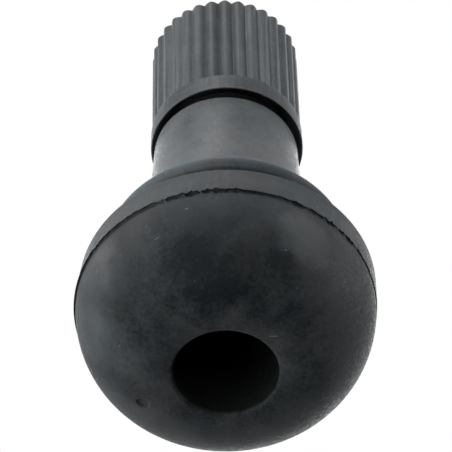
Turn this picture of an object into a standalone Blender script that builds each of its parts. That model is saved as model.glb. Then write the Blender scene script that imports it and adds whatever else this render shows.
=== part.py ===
"""Snap-in tyre valve: a rubber body moulded round a brass stem, with a valve core and a screw cap.

The valve stands on its base with the cap up. +Z runs along the axis, z = 0 is the flat of the base,
and every piece is turned about the Z axis. Lengths are in metres.
"""

import math

import bmesh
import bpy

MM = 0.001

# Rubber body, from the base up
hole_radius = 3.24 * MM
hole_lip = 0.2 * MM
base_flat_radius = 4.15 * MM
base_dome_height = 5.85 * MM
flange_radius = 9.5 * MM
flange_draft = 0.25 * MM
flange_edge = 0.2 * MM
flange_wall_height = 2.35 * MM
parting_step = 0.2 * MM
groove_radius = 5.95 * MM
groove_height = 2.2 * MM
groove_fillet = 0.35 * MM
bulge_radius = 8.0 * MM
bulge_rise = 0.9 * MM
bulge_round = 0.45 * MM
bulge_taper_height = 3.2 * MM
neck_foot_radius = 5.1 * MM
neck_top_radius = 4.74 * MM
neck_height = 8.1 * MM
neck_fillet = 1.6 * MM
neck_edge = 0.45 * MM

# Brass stem that the rubber is moulded round
stem_foot = 7.0 * MM
stem_root_radius = 4.2 * MM
stem_root_height = 1.3 * MM
stalk_radius = 3.3 * MM
grip_rib_depth = 0.35 * MM
grip_rib_pitch = 2.4 * MM
grip_rib_width = 0.5 * MM
grip_rib_count = 2
stem_thread_radius = 3.85 * MM
stem_thread_length = 9.2 * MM
stem_lead_in = 0.45 * MM
bore_lead_in = 0.3 * MM

# Valve core, from its plug down
plug_drop = 2.2 * MM
plug_height = 4.4 * MM
plug_radius = 2.6 * MM
plug_lead_in = 0.25 * MM
plug_wall = 0.7 * MM
plug_lip_height = 0.5 * MM
plug_bridge_height = 0.9 * MM
plug_bridge_width = 2.3 * MM
plug_window_height = 0.5 * MM
barrel_radius = 1.8 * MM
barrel_wall = 0.43 * MM
barrel_neck_wall = 0.5 * MM
barrel_shoulder_height = 0.55 * MM
swivel_flange_height = 0.5 * MM
barrel_tail_length = 8.3 * MM
spring_room_roof = 1.0 * MM
spring_ledge = 0.7 * MM
air_passage = 0.4 * MM
core_seal_height = 1.8 * MM
core_seal_wall = 0.2 * MM
core_seal_taper = 0.3 * MM
pin_tip_drop = 0.3 * MM
pin_radius = 0.7 * MM
pin_tail_radius = 0.5 * MM
pin_rivet_rim = 0.45 * MM
pin_rivet_height = 0.3 * MM
pin_collar_height = 0.5 * MM
spring_wire = 0.3 * MM
spring_turns = 8
poppet_seal_height = 0.8 * MM
poppet_cup_wall = 0.2 * MM
poppet_cup_floor = 0.45 * MM
poppet_cup_depth = 0.55 * MM

# Screw cap
cap_mouth_gap = 0.6 * MM
cap_band_wall = 1.1 * MM
cap_band_height = 1.55 * MM
cap_band_flare = 0.01 * MM
cap_band_ledge = 0.07 * MM
cap_end_wall = 1.25 * MM
cap_corner = 0.25 * MM
cap_edge = 0.15 * MM
cap_skirt_wall = 0.35 * MM
cap_skirt_depth = 1.1 * MM
flute_count = 32
flute_depth = 0.3 * MM
flute_runout = 0.4 * MM
cap_seal_height = 0.8 * MM

# Clearances between neighbours
bond_gap = 0.05 * MM
seat_gap = 0.05 * MM
thread_gap = 0.1 * MM
swivel_gap = 0.1 * MM
slide_gap = 0.15 * MM

# Facets
body_sides = 48
core_sides = 24
sides_per_flute = 4
wire_sides = 5
spring_sides = 12
corner_facet = 0.35 * MM
corner_steps_most = 4
arc_share = 0.45
dome_steps = 8
sharp_angle = math.radians(32)
weld = 0.1e-6

# Radii that follow from the sizes above
core_bore_radius = plug_radius + seat_gap
plug_cavity_radius = plug_radius - plug_wall
pin_hole_radius = pin_radius + slide_gap
barrel_neck_radius = pin_hole_radius + barrel_neck_wall
spring_room_radius = barrel_radius - barrel_wall
pin_collar_radius = spring_room_radius - slide_gap
air_hole_radius = pin_tail_radius + air_passage
core_seal_foot_radius = barrel_radius + bond_gap + core_seal_wall
core_seal_top_radius = core_seal_foot_radius + core_seal_taper
poppet_cup_radius = barrel_radius - swivel_gap
poppet_seal_radius = poppet_cup_radius - poppet_cup_wall - bond_gap
stem_bore_radius = barrel_radius + slide_gap
cap_bore_radius = stem_thread_radius + thread_gap
cap_mouth_radius = cap_bore_radius + cap_band_wall

# Heights that follow from the sizes above
flange_top = base_dome_height + flange_wall_height
groove_top = flange_top + groove_height
bulge_height = groove_top + bulge_rise
neck_foot = bulge_height + bulge_taper_height
neck_top = neck_foot + neck_height
stem_shoulder = neck_top + bond_gap
stem_top = neck_top + stem_thread_length
plug_top = stem_top - plug_drop
plug_foot = plug_top - plug_height
barrel_shoulder_top = plug_foot - swivel_gap
barrel_shoulder_foot = barrel_shoulder_top - barrel_shoulder_height
swivel_flange_foot = plug_foot + plug_lip_height + swivel_gap
core_seal_top = barrel_shoulder_foot - bond_gap
core_seal_foot = core_seal_top - core_seal_height
barrel_foot = core_seal_foot - barrel_tail_length
spring_foot = barrel_foot + spring_ledge
spring_room_top = barrel_shoulder_top - spring_room_roof
pin_collar_foot = spring_room_top - slide_gap - pin_collar_height
poppet_seal_top = barrel_foot - seat_gap
poppet_seal_foot = poppet_seal_top - poppet_seal_height
poppet_cup_foot = poppet_seal_foot - bond_gap - poppet_cup_floor
pin_rivet_top = poppet_cup_foot - bond_gap
pin_foot = pin_rivet_top - pin_rivet_height
pin_tip = stem_top - pin_tip_drop
cap_mouth = neck_top + cap_mouth_gap
cap_seal_foot = stem_top + seat_gap
cap_roof = cap_seal_foot + cap_seal_height + bond_gap
cap_end = cap_roof + cap_end_wall


def clear_scene():
    for obj in list(bpy.data.objects):
        bpy.data.objects.remove(obj, do_unlink=True)


def finish(name, colour, roughness, metallic=0.0):
    """A Principled material with one linear colour."""
    made = bpy.data.materials.new(name)
    made.use_nodes = True
    made.diffuse_color = (*colour, 1.0)
    shader = made.node_tree.nodes["Principled BSDF"]
    shader.inputs["Base Color"].default_value = (*colour, 1.0)
    shader.inputs["Roughness"].default_value = roughness
    shader.inputs["Metallic"].default_value = metallic
    return made


def rounded(corners):
    """Points of an outline given as (radius, height) or, with an arc there, (radius, height, rounding).

    The first and the last corner have no arc. An arc is limited by the shorter side beside it.
    """
    points = []
    for index, (r, z, *rounding) in enumerate(corners):
        if not rounding:
            points.append((r, z))
            continue
        before, after = corners[index - 1], corners[index + 1]
        to_before = (before[0] - r, before[1] - z)
        to_after = (after[0] - r, after[1] - z)
        length_before, length_after = math.hypot(*to_before), math.hypot(*to_after)
        u = (to_before[0] / length_before, to_before[1] / length_before)
        w = (to_after[0] / length_after, to_after[1] / length_after)
        half = math.acos(max(-1.0, min(1.0, u[0] * w[0] + u[1] * w[1]))) / 2
        reach = min(rounding[0] / math.tan(half), arc_share * length_before, arc_share * length_after)
        radius = reach * math.tan(half)
        middle = (u[0] + w[0], u[1] + w[1])
        away = radius / math.sin(half) / math.hypot(*middle)
        centre = (r + middle[0] * away, z + middle[1] * away)
        start = math.atan2(z + u[1] * reach - centre[1], r + u[0] * reach - centre[0])
        stop = math.atan2(z + w[1] * reach - centre[1], r + w[0] * reach - centre[0])
        sweep = (stop - start + math.pi) % (2 * math.pi) - math.pi
        steps = min(corner_steps_most, 1 + round(rounding[0] / corner_facet))
        for step in range(steps + 1):
            angle = start + sweep * step / steps
            points.append((centre[0] + radius * math.cos(angle), centre[1] + radius * math.sin(angle)))
    return points


def turned_shape(outline, sides):
    """A bmesh turned once round the Z axis. An outline that starts and ends on the axis stays open there."""
    shape = bmesh.new()
    verts = [shape.verts.new((r, 0.0, z)) for r, z in outline]
    pairs = list(zip(verts, verts[1:]))
    if outline[0][0] > weld or outline[-1][0] > weld:
        pairs.append((verts[-1], verts[0]))
    edges = [shape.edges.new(pair) for pair in pairs]
    bmesh.ops.spin(
        shape,
        geom=verts + edges,
        cent=(0, 0, 0),
        axis=(0, 0, 1),
        angle=2 * math.pi,
        steps=sides,
        use_merge=True,
    )
    bmesh.ops.remove_doubles(shape, verts=shape.verts, dist=weld)
    bmesh.ops.recalc_face_normals(shape, faces=shape.faces)
    return shape


def piece(name, shape, material, parent=None):
    """Turn a bmesh into a named object in the scene, shaded smooth across its rounds."""
    mesh = bpy.data.meshes.new(name)
    shape.to_mesh(mesh)
    shape.free()
    mesh.materials.append(material)
    mesh.shade_smooth()
    mesh.set_sharp_from_angle(angle=sharp_angle)
    obj = bpy.data.objects.new(name, mesh)
    bpy.context.collection.objects.link(obj)
    obj.parent = parent
    return obj


def turned(name, corners, sides, material, parent=None):
    return piece(name, turned_shape(rounded(corners), sides), material, parent)


def axis_empty(name):
    """An empty on the valve's axis that carries the pieces that move together."""
    empty = bpy.data.objects.new(name, None)
    empty.empty_display_size = flange_radius
    bpy.context.collection.objects.link(empty)
    return empty


def cut(target, cutter):
    """Take the cutter's shape out of the target."""
    cutter.hide_render = True
    cutter.display_type = "WIRE"
    boolean = target.modifiers.new("cut_" + cutter.name, "BOOLEAN")
    boolean.operation = "DIFFERENCE"
    boolean.object = cutter


def buried_stem(grow=0.0):
    """The stem's outer shape inside the rubber, from its foot up, made larger by grow for the mould."""
    root_top = stem_foot + stem_root_height
    slope_top = root_top + stem_root_radius - stalk_radius
    corners = [
        (stem_root_radius + grow, stem_foot - grow),
        (stem_root_radius + grow, root_top),
        (stalk_radius + grow, slope_top),
    ]
    for rib in range(grip_rib_count):
        rib_foot = slope_top + grip_rib_pitch * (rib + 0.5)
        corners += [
            (stalk_radius + grow, rib_foot),
            (stalk_radius + grip_rib_depth + grow, rib_foot + grip_rib_depth),
            (stalk_radius + grip_rib_depth + grow, rib_foot + grip_rib_depth + grip_rib_width),
            (stalk_radius + grow, rib_foot + 2 * grip_rib_depth + grip_rib_width),
        ]
    return corners


def rubber_body(material):
    """Domed base, flange, rim groove, retaining bulge and neck, moulded round the stem."""
    dome_radius = flange_radius - parting_step
    dome = [
        (
            base_flat_radius + (dome_radius - base_flat_radius) * math.sin(angle),
            base_dome_height * (1 - math.cos(angle)),
        )
        for angle in (math.radians(90) * step / dome_steps for step in range(1, dome_steps + 1))
    ]
    outside = [
        (hole_radius, stem_foot - bond_gap),
        (hole_radius, 0, hole_lip),
        (base_flat_radius, 0),
        *dome,
        (flange_radius, base_dome_height),
        (flange_radius - flange_draft, flange_top, flange_edge),
        (groove_radius, flange_top, groove_fillet),
        (groove_radius, groove_top, groove_fillet),
        (bulge_radius, bulge_height, bulge_round),
        (neck_foot_radius, neck_foot, neck_fillet),
        (neck_top_radius, neck_top, neck_edge),
        (stalk_radius + bond_gap, neck_top),
    ]
    return turned("rubber_body", outside + buried_stem(bond_gap)[::-1], body_sides, material)


def stem_insert(material):
    """Brass stem: a ribbed stalk under the cap thread, bored for the valve core."""
    seat_top_radius = core_seal_top_radius + seat_gap
    seat_foot_radius = core_seal_foot_radius + seat_gap
    outside = buried_stem() + [
        (stalk_radius, stem_shoulder),
        (stem_thread_radius - stem_lead_in / 2, stem_shoulder),
        (stem_thread_radius, stem_shoulder + stem_lead_in / 2),
        (stem_thread_radius, stem_top - stem_lead_in),
        (stem_thread_radius - stem_lead_in, stem_top),
    ]
    inside = [
        (core_bore_radius + bore_lead_in, stem_top),
        (core_bore_radius, stem_top - bore_lead_in),
        (core_bore_radius, barrel_shoulder_foot + barrel_shoulder_height / 2),
        (seat_top_radius, core_seal_top),
        (seat_foot_radius, core_seal_foot),
        (stem_bore_radius, core_seal_foot - seat_foot_radius + stem_bore_radius),
        (stem_bore_radius, stem_foot),
    ]
    return turned("stem_insert", outside + inside, body_sides, material)


def core_plug(material):
    """Threaded plug of the core. A lip under its cavity holds the swivel, and two flats take the core tool."""
    lip_radius = barrel_neck_radius + swivel_gap
    cavity_foot = plug_foot + plug_lip_height
    bridge_foot = plug_top - plug_bridge_height
    outline = [
        (lip_radius, plug_foot),
        (plug_radius - plug_lead_in, plug_foot),
        (plug_radius, plug_foot + plug_lead_in),
        (plug_radius, plug_top - plug_lead_in),
        (plug_radius - plug_lead_in, plug_top),
        (pin_hole_radius, plug_top),
        (pin_hole_radius, bridge_foot),
        (plug_cavity_radius, bridge_foot),
        (plug_cavity_radius, cavity_foot),
        (lip_radius, cavity_foot),
    ]
    plug = turned("core_plug", outline, core_sides, material)
    for side in (-1, 1):
        shape = bmesh.new()
        bmesh.ops.create_cube(shape, size=2 * plug_radius)
        flat = piece("plug_flat_left" if side < 0 else "plug_flat_right", shape, material)
        flat.location = (
            0,
            side * (plug_bridge_width / 2 + plug_radius),
            bridge_foot - plug_window_height + plug_radius,
        )
        cut(plug, flat)
    return plug


def core_barrel(material):
    """Barrel of the core: it hangs in the plug by its swivel flange and holds the spring."""
    swivel_radius = plug_cavity_radius - swivel_gap
    shoulder_radius = core_seal_top_radius - slide_gap
    swivel_top = swivel_flange_foot + swivel_flange_height
    outline = [
        (air_hole_radius, barrel_foot),
        (barrel_radius, barrel_foot),
        (barrel_radius, barrel_shoulder_foot),
        (shoulder_radius, barrel_shoulder_foot),
        (shoulder_radius, barrel_shoulder_top),
        (barrel_neck_radius, barrel_shoulder_top),
        (barrel_neck_radius, swivel_flange_foot),
        (swivel_radius, swivel_flange_foot),
        (swivel_radius, swivel_top),
        (pin_hole_radius, swivel_top),
        (pin_hole_radius, spring_room_top),
        (spring_room_radius, spring_room_top),
        (spring_room_radius, spring_foot),
        (air_hole_radius, spring_foot),
    ]
    return turned("core_barrel", outline, core_sides, material)


def barrel_gasket(material):
    """Tapered sealing ring on the barrel, which meets the cone in the stem."""
    inner_radius = barrel_radius + bond_gap
    outline = [
        (inner_radius, core_seal_foot),
        (core_seal_foot_radius, core_seal_foot),
        (core_seal_top_radius, core_seal_top),
        (inner_radius, core_seal_top),
    ]
    return turned("barrel_gasket", outline, core_sides, material)


def core_spring(material):
    """Wire coil between the barrel's ledge and the pin's collar."""
    coil_radius = spring_room_radius - bond_gap - spring_wire / 2
    first = spring_foot + bond_gap + spring_wire / 2
    last = pin_collar_foot - bond_gap - spring_wire / 2
    steps = spring_turns * spring_sides
    shape = bmesh.new()
    rings = []
    for step in range(steps + 1):
        turn = 2 * math.pi * step / spring_sides
        height = first + (last - first) * step / steps
        ring = []
        for corner in range(wire_sides):
            around = 2 * math.pi * corner / wire_sides
            radius = coil_radius + spring_wire / 2 * math.cos(around)
            z = height + spring_wire / 2 * math.sin(around)
            ring.append(shape.verts.new((radius * math.cos(turn), radius * math.sin(turn), z)))
        rings.append(ring)
    for ring, after in zip(rings, rings[1:]):
        for corner in range(wire_sides):
            beside = (corner + 1) % wire_sides
            shape.faces.new((ring[corner], ring[beside], after[beside], after[corner]))
    shape.faces.new(rings[0])
    shape.faces.new(rings[-1])
    bmesh.ops.recalc_face_normals(shape, faces=shape.faces)
    return piece("core_spring", shape, material)


def core_pin(material, parent):
    """Pin through the core, with a collar for the spring and a riveted tail that carries the poppet."""
    rivet_radius = pin_tail_radius + pin_rivet_rim
    outline = [
        (0, pin_foot),
        (rivet_radius, pin_foot, pin_rivet_height / 2),
        (rivet_radius, pin_rivet_top),
        (pin_tail_radius, pin_rivet_top),
        (pin_tail_radius, pin_collar_foot),
        (pin_collar_radius, pin_collar_foot),
        (pin_collar_radius, pin_collar_foot + pin_collar_height),
        (pin_radius, pin_collar_foot + pin_collar_height),
        (pin_radius, pin_tip, pin_radius / 2),
        (0, pin_tip),
    ]
    return turned("core_pin", outline, core_sides, material, parent)


def poppet_cup(material, parent):
    """Brass cup that holds the poppet's rubber against the barrel's end."""
    pin_fit_radius = pin_tail_radius + bond_gap
    inner_radius = poppet_cup_radius - poppet_cup_wall
    floor = poppet_cup_foot + poppet_cup_floor
    outline = [
        (pin_fit_radius, poppet_cup_foot),
        (poppet_cup_radius, poppet_cup_foot, poppet_cup_wall),
        (poppet_cup_radius, floor + poppet_cup_depth),
        (inner_radius, floor + poppet_cup_depth),
        (inner_radius, floor),
        (pin_fit_radius, floor),
    ]
    return turned("poppet_cup", outline, core_sides, material, parent)


def poppet_gasket(material, parent):
    """Rubber washer that shuts the barrel's air hole."""
    inner_radius = pin_tail_radius + bond_gap
    outline = [
        (inner_radius, poppet_seal_foot),
        (poppet_seal_radius, poppet_seal_foot),
        (poppet_seal_radius, poppet_seal_top),
        (inner_radius, poppet_seal_top),
    ]
    return turned("poppet_gasket", outline, core_sides, material, parent)


def flute(shape, foot):
    """Press the flutes into a turned shape above a height: round ridges with sharp valleys."""
    for vert in shape.verts:
        radius = math.hypot(vert.co.x, vert.co.y)
        if vert.co.z < foot + weld or radius < weld:
            continue
        ridge = abs(math.cos(math.atan2(vert.co.y, vert.co.x) * flute_count / 2))
        fade = min(1.0, (vert.co.z - foot) / flute_runout)
        scale = 1 - flute_depth * (1 - ridge) * fade / radius
        vert.co.x *= scale
        vert.co.y *= scale


def cap(material, parent):
    """Plastic screw cap: a plain band round its wide mouth, flutes above, and a closed end."""
    band_top_radius = cap_mouth_radius - cap_band_flare
    crest_radius = band_top_radius - cap_band_ledge
    band_top = cap_mouth + cap_band_height
    outside = [
        (0, cap_mouth),
        (cap_mouth_radius, cap_mouth, cap_edge),
        (band_top_radius, band_top, cap_edge),
        (crest_radius, band_top),
        (crest_radius, band_top + flute_runout),
        (crest_radius, cap_end, cap_corner),
        (0, cap_end),
    ]
    skirt_radius = cap_mouth_radius - cap_skirt_wall
    skirt_top = cap_mouth + cap_skirt_depth
    below_mouth = cap_mouth - cap_skirt_depth
    cavity = [
        (0, below_mouth),
        (skirt_radius, below_mouth),
        (skirt_radius, skirt_top),
        (cap_bore_radius, skirt_top + skirt_radius - cap_bore_radius),
        (cap_bore_radius, cap_roof),
        (0, cap_roof),
    ]
    shape = turned_shape(rounded(outside), flute_count * sides_per_flute)
    flute(shape, band_top)
    shell = piece("cap", shape, material, parent)
    cut(shell, turned("cap_cavity", cavity, body_sides, material, parent))
    return shell


def cap_gasket(material, parent):
    """Rubber disc in the end of the cap, which seals on the stem's top."""
    radius = cap_bore_radius - bond_gap
    top = cap_seal_foot + cap_seal_height
    outline = [(0, cap_seal_foot), (radius, cap_seal_foot), (radius, top), (0, top)]
    return turned("cap_gasket", outline, body_sides, material, parent)


def build():
    clear_scene()
    rubber = finish("black_rubber", (0.027, 0.029, 0.031), 0.62)
    plastic = finish("black_cap_plastic", (0.045, 0.047, 0.050), 0.5)
    brass = finish("brass", (0.62, 0.42, 0.16), 0.3, 1.0)
    steel = finish("spring_steel", (0.46, 0.46, 0.45), 0.3, 1.0)
    seal = finish("red_seal_rubber", (0.30, 0.035, 0.025), 0.7)
    soft = finish("black_seal_rubber", (0.02, 0.02, 0.02), 0.7)
    cap_axis = axis_empty("cap_axis")
    pin_axis = axis_empty("pin_axis")
    rubber_body(rubber)
    stem_insert(brass)
    core_plug(brass)
    core_barrel(brass)
    barrel_gasket(seal)
    core_spring(steel)
    core_pin(brass, pin_axis)
    poppet_cup(brass, pin_axis)
    poppet_gasket(soft, pin_axis)
    cap(plastic, cap_axis)
    cap_gasket(soft, cap_axis)


build()
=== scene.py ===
# %% [markdown]
# # A snap-in tyre valve
# This is the short rubber valve of a tubeless car wheel. Rubber is moulded round a brass stem, a sprung
# valve core is screwed into the stem, and a fluted plastic cap closes it.
# The photograph looks up at the valve from below its base, so the base is near and the cap is far.
#
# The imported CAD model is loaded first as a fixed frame, in metres, with +Z from the base to the cap.
# Each piece that is modelled below takes the place of one CAD solid and moves with the same body.

# %% Load the frame
import math

import bmesh
import bpy
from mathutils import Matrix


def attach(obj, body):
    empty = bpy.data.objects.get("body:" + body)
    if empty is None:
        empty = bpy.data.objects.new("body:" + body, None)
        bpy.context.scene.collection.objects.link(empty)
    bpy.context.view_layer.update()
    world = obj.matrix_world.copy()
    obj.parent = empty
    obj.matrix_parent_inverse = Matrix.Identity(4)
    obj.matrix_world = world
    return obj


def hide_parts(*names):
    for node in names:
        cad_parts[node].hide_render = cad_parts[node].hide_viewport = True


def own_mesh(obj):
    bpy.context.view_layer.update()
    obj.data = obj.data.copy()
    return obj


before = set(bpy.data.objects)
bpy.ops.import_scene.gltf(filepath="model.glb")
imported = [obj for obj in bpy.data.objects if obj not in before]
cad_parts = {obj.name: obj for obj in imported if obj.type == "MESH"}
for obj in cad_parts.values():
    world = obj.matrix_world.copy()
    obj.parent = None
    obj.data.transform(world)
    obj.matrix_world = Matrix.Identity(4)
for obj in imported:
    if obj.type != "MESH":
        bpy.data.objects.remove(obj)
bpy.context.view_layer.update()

# %% [markdown]
# ## How the pieces are modelled
# Nearly every piece here is turned or moulded round one axis, so the natural way is to draw half of its
# section as a wire and spin it. The wire starts as a small plane merged to one point, which is extruded
# from corner to corner. Corners are then bevelled, because no moulded or turned edge is truly sharp.
# Sizes are written in millimetres, as on a drawing, and turned into metres in one place.

# %% Draw a section
MM = 0.001
WELD = 0.5e-6


def make_active(piece):
    """Operators act on all that is selected, so only this piece is left selected."""
    bpy.ops.object.select_all(action="DESELECT")
    piece.select_set(True)
    bpy.context.view_layer.objects.active = piece


def start_at(name, x, y, z):
    """One vertex at a place in mm, in edit mode: a small plane, merged to its middle."""
    bpy.ops.object.select_all(action="DESELECT")
    bpy.ops.mesh.primitive_plane_add(size=0.1 * MM, location=(x * MM, y * MM, z * MM))
    piece = bpy.context.object
    piece.name = name
    bpy.ops.object.transform_apply(location=True, rotation=False, scale=False)
    bpy.ops.object.mode_set(mode="EDIT")
    bpy.ops.mesh.merge(type="CENTER")
    return piece


def pick(piece, test):
    """Select, in edit mode, the vertices whose place in mm passes the test."""
    bpy.ops.mesh.select_all(action="DESELECT")
    mesh = bmesh.from_edit_mesh(piece.data)
    chosen = [vert for vert in mesh.verts if test(*(vert.co / MM))]
    for vert in chosen:
        vert.select = True
    mesh.select_flush(True)
    bmesh.update_edit_mesh(piece.data)
    return len(chosen)


def draw_section(name, corners):
    """Half a section in the XZ plane. A corner is (radius, height) or (radius, height, rounding)."""
    x, z = corners[0][:2]
    piece = start_at(name, x, 0, z)
    for corner in corners[1:]:
        step = ((corner[0] - x) * MM, 0, (corner[1] - z) * MM)
        bpy.ops.mesh.extrude_region_move(TRANSFORM_OT_translate={"value": step})
        x, z = corner[:2]
    bpy.ops.mesh.select_all(action="SELECT")
    bpy.ops.mesh.remove_doubles(threshold=WELD)
    for x, z, *rounding in corners:
        if rounding:
            pick(piece, lambda px, py, pz: abs(px - x) < 1e-3 and abs(pz - z) < 1e-3)
            steps = 3 + round(5 * rounding[0])
            bpy.ops.mesh.bevel(offset=rounding[0] * MM, segments=steps, affect="VERTICES")
    return piece


def turn(piece, sides):
    """Spin the section once round the Z axis, close its seam, and point its faces outwards."""
    bpy.ops.mesh.select_all(action="SELECT")
    bpy.ops.mesh.spin(steps=sides, angle=2 * math.pi, center=(0, 0, 0), axis=(0, 0, 1))
    close_up()
    return piece


def close_up():
    """Merge doubles and recalculate the normals of the mesh in edit mode, then leave edit mode."""
    bpy.ops.mesh.select_all(action="SELECT")
    bpy.ops.mesh.remove_doubles(threshold=WELD)
    bpy.ops.mesh.normals_make_consistent(inside=False)
    bpy.ops.object.mode_set(mode="OBJECT")


def cut(piece, cutter):
    """Take the cutter's shape out of the piece and throw the cutter away."""
    make_active(piece)
    bpy.ops.object.modifier_add(type="BOOLEAN")
    boolean = piece.modifiers[-1]
    boolean.operation = "DIFFERENCE"
    boolean.solver = "EXACT"
    boolean.object = cutter
    bpy.ops.object.modifier_apply(modifier=boolean.name)
    bpy.data.objects.remove(cutter, do_unlink=True)


def hand_over(piece, node, body, finish, sharp=35):
    """Shade the piece, give it its finish, and let it stand for a CAD node on that node's body."""
    make_active(piece)
    bpy.ops.object.shade_smooth_by_angle(angle=math.radians(sharp))
    piece.data.materials.clear()
    piece.data.materials.append(finish)
    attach(piece, body)
    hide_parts(node)
    size = [round(side / MM, 2) for side in piece.dimensions]
    print(piece.name, "mm:", size, "faces:", len(piece.data.polygons))


# %% [markdown]
# ## How the finishes are made
# Each finish is a Principled shader with patterns on Object coordinates, which are metres on the piece
# itself, so that a noise of scale 1 / 0.0025 has patches of 2.5 mm. Patterns change colour, roughness
# and bump together, as dust, wear and grain do on a real surface.
# Colours are written as hex values read from a picture, and one function turns them linear.

# %% Node and colour helpers


def colour(hex_value):
    """An sRGB hex colour as the linear colour that a shader works with."""
    parts = [int(hex_value[at : at + 2], 16) / 255 for at in (0, 2, 4)]
    linear = [part / 12.92 if part <= 0.04045 else ((part + 0.055) / 1.055) ** 2.4 for part in parts]
    return (*linear, 1.0)


def new_finish(name):
    """An empty material with its output, Principled shader and Object coordinates."""
    material = bpy.data.materials.new(name)
    material.use_nodes = True
    tree = material.node_tree
    shader = tree.nodes["Principled BSDF"]
    place = tree.nodes.new("ShaderNodeTexCoord").outputs["Object"]
    return material, tree, shader, place


def add(tree, kind, inputs=None, **options):
    """Add a node and set its options. An input that is a socket is linked, any other is a value."""
    made = tree.nodes.new("ShaderNode" + kind)
    for option, value in options.items():
        setattr(made, option, value)
    for name, value in (inputs or {}).items():
        if isinstance(value, bpy.types.NodeSocket):
            tree.links.new(value, made.inputs[name])
        else:
            made.inputs[name].default_value = value
    return made


def per(size_mm):
    """The scale of a pattern whose features are this many mm apart."""
    return 1 / (size_mm * MM)


# %% [markdown]
# ## Moulded black rubber
# The body is carbon-black rubber, vulcanised in a steel mould. Fresh rubber is nearly black, but its
# waxes bloom to the surface as a thin grey film, which gives the eye a soft grey that is never even. Here
# the film is thin on the base, thicker on the flange, full on the bulge and the neck's foot, and thinner
# again up the neck. Inside the air hole the rubber is painted plain black, as painted shade in the deep
# hole. Its mouth lies a little off centre, toward the back, and both the painted black and the mesh below
# follow that shift, in mm.
#
# The film is a share from 0, bare rubber, to 1, full bloom. It is a sum of soft layers, each of which runs
# from one amount to another along the height or a noise. Four noises make it uneven, less so on the base
# and more so on the neck, and the other layers give the thickness at each part of the body. Two of those
# layers carry painted light and shade: a painted shadow line just under the parting line's lip, and a step
# at 11 mm that paints a shadow line where the flange's edge meets the bulge's underside and painted light
# on that underside above it.

# %% Bloom on the rubber
rubber, tree, shader, place = new_finish("moulded_black_rubber")
hole_shift = 0.14
about_hole = add(tree, "VectorMath", {0: place, 1: (0, hole_shift * MM, 0)}, operation="SUBTRACT")
across = add(tree, "VectorMath", {0: about_hole.outputs[0], 1: (1, 1, 0)}, operation="MULTIPLY")
from_hole = add(tree, "VectorMath", {0: across.outputs[0]}, operation="LENGTH").outputs["Value"]
height = add(tree, "SeparateXYZ", {0: place}).outputs["Z"]


def layered(tree, total, layers):
    """Add soft layers to a total. A layer is a value, its low and high, and the amount at each of them."""
    for value, low, high, at_low, at_high in layers:
        inputs = {0: value, 1: low, 2: high, 3: at_low, 4: at_high}
        layer = add(tree, "MapRange", inputs, interpolation_type="SMOOTHSTEP")
        total = add(tree, "Math", {0: total, 1: layer.outputs[0]}, operation="ADD").outputs[0]
    return total


noises = {}
swings = []
for name, size, detail, roughness, swing in (
    ("mottle", 5.0, 3, 0.5, 0.06),
    ("patches", 2.2, 4, 0.55, 0.11),
    ("smudges", 0.6, 5, 0.65, 0.06),
    ("specks", 0.22, 3, 0.6, 0.09),
):
    inputs = {"Vector": place, "Scale": per(size), "Detail": detail, "Roughness": roughness}
    noises[name] = add(tree, "TexNoise", inputs).outputs[0]
    swings.append((noises[name], 0.3, 0.7, -swing, swing))
uneven = layered(tree, 0.0, swings)
how_uneven = layered(tree, 0.0, (
    (height, 5.0 * MM, 6.5 * MM, 0.6, 1.0),
    (height, 12.0 * MM, 16.0 * MM, 0, 0.5),
))
bloom_and_painted_light = add(tree, "Math", {0: uneven, 1: how_uneven}, operation="MULTIPLY").outputs[0]
bloom_and_painted_light = layered(tree, bloom_and_painted_light, (
    (height, 2.0 * MM, 5.6 * MM, 0.125, 0.235),
    # Painted shadow line under the lip of the parting line, from 5.5 to 5.85 mm.
    (height, 5.50 * MM, 5.78 * MM, 0, -0.2),
    (height, 5.84 * MM, 5.87 * MM, 0, 0.2),
    (height, 5.8 * MM, 6.2 * MM, 0, 0.21),
    (height, 7.0 * MM, 8.2 * MM, 0, -0.12),
    # Painted shadow line below 11 mm at the flange's edge, and painted light on the bulge's underside above
    # it, which carries on up the neck.
    (height, 10.98 * MM, 11.1 * MM, 0, 0.58),
    (height, 15.0 * MM, 22.4 * MM, 0, -0.42),
))
print("nodes in the bloom:", len(tree.nodes))

# %% [markdown]
# Paler and darker patches lie at given places, most on the base and three on the neck. The strongest, at
# the right of the base's rim, is a painted highlight, and on the neck two pale spots are a painted highlight
# with one spot of painted shade to its left. Each is one more layer, along the distance from a point in mm:
# full within the first 0.3 of its reach, and gone at the end of it. The coordinates are shaken by a noise
# first, so that no spot is round.

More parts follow.
